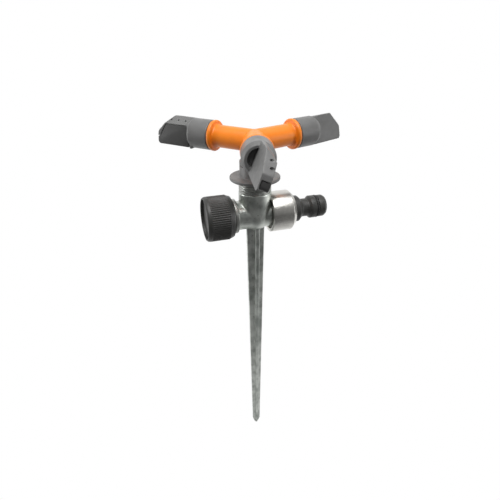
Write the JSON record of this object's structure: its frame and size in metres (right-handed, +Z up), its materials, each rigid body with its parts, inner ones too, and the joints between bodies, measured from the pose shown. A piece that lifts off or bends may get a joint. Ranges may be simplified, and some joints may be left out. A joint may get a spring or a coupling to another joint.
{
  "type": "rotary lawn sprinkler",
  "caption": "Spinning multi-arm lawn sprinkler on a ground spike, with a snap-in hose nipple on one side and a screw-off end cap on the other.",
  "frame": {"origin": "on the spike's axis at its shoulder, under the barrel, level with the soil", "axes": "+Z up along the barrel, +X along the cross pipe towards the hose nipple"},
  "size_m": [0.1429, 0.1378, 0.3021],
  "materials": {
    "zinc_casting": "die-cast, satin",
    "plated_metal": "satin plated",
    "orange_plastic": "moulded, semi-gloss",
    "grey_plastic": "moulded, satin",
    "dark_plastic": "moulded, satin",
    "black_plastic": "moulded, satin",
    "seal_rubber": "smooth",
    "white_acetal": "smooth"
  },
  "bodies": {
    "stand": {"spike_body": "zinc_casting", "swivel_base": "grey_plastic", "base_gasket": "seal_rubber", "swivel_cap": "grey_plastic", "thrust_washer_lower": "white_acetal", "thrust_washer_upper": "white_acetal", "stem_seal": "seal_rubber"},
    "rotor": {"rotor_stem": "plated_metal", "arm_hub": "orange_plastic", "nozzle_seal_front": "seal_rubber", "nozzle_seal_right": "seal_rubber", "nozzle_seal_left": "seal_rubber"},
    "nozzle_front": {"nozzle_front": "grey_plastic", "nozzle_pad_front": "dark_plastic"},
    "nozzle_right": {"nozzle_right": "grey_plastic", "nozzle_pad_right": "dark_plastic"},
    "nozzle_left": {"nozzle_left": "grey_plastic", "nozzle_pad_left": "dark_plastic"},
    "nipple": {"inlet_nipple": "black_plastic", "nipple_o_ring": "seal_rubber", "inlet_washer": "seal_rubber"},
    "nut": {"inlet_nut": "plated_metal"},
    "cap_washer": {"end_cap_washer": "seal_rubber"},
    "cap": {"end_cap": "black_plastic"}
  },
  "joints": [
    {"name": "rotor_spin", "type": "hinge", "parent": "stand", "child": "rotor", "pos_m": [0, 0, 0.05], "axis": [0, 0, 1], "continuous": true},
    {"name": "nozzle_front_turn", "type": "hinge", "parent": "rotor", "child": "nozzle_front", "pos_m": [0, 0, 0.0697], "axis": [-0.2469, -0.9688, 0.0209], "continuous": true},
    {"name": "nozzle_right_turn", "type": "hinge", "parent": "rotor", "child": "nozzle_right", "pos_m": [0, 0, 0.0697], "axis": [0.9625, 0.2705, 0.0209], "continuous": true},
    {"name": "nozzle_left_turn", "type": "hinge", "parent": "rotor", "child": "nozzle_left", "pos_m": [0, 0, 0.0697], "axis": [-0.7155, 0.6983, 0.0209], "continuous": true},
    {"name": "nipple_slide", "type": "slide", "parent": "stand", "child": "nipple", "axis": [1, 0, 0], "range_m": [0, 0.0091]},
    {"name": "nut_turn", "type": "hinge", "parent": "nipple", "child": "nut", "pos_m": [0, 0, 0.0138], "axis": [1, 0, 0], "range_deg": [0, 1800]},
    {"name": "cap_slide", "type": "slide", "parent": "stand", "child": "cap_washer", "axis": [-1, 0, 0], "range_m": [0, 0.0091]},
    {"name": "cap_turn", "type": "hinge", "parent": "cap_washer", "child": "cap", "pos_m": [0, 0, 0.0138], "axis": [-1, 0, 0], "range_deg": [0, 1800]}
  ],
  "couplings": [
    {"joint": "nipple_slide", "follows": "nut_turn", "m_per_rad": 0.0002887},
    {"joint": "cap_slide", "follows": "cap_turn", "m_per_rad": 0.0002887}
  ]
}
